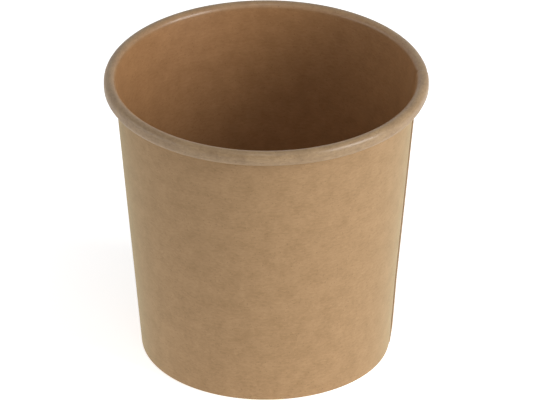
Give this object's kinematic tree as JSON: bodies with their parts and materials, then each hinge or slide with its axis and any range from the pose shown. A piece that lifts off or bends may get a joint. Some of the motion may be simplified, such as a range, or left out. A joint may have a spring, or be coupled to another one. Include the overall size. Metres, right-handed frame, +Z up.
{
  "type": "soup cup",
  "caption": "Round kraft paper soup cup with tapered wall, rolled rim, overlapped side seam and recessed base.",
  "frame": {"origin": "centre of the foot, on the table", "axes": "+Z up along the cup's axis, the side seam lies close to +X"},
  "size_m": [0.09, 0.09, 0.084],
  "materials": {
    "kraft_wall": "uncoated kraft board outside, thin film inside",
    "kraft_bottom": "kraft board with a thin film on the upper side"
  },
  "bodies": {
    "root": {"side_wall": "kraft_wall", "bottom_disc": "kraft_bottom"}
  },
  "joints": []
}
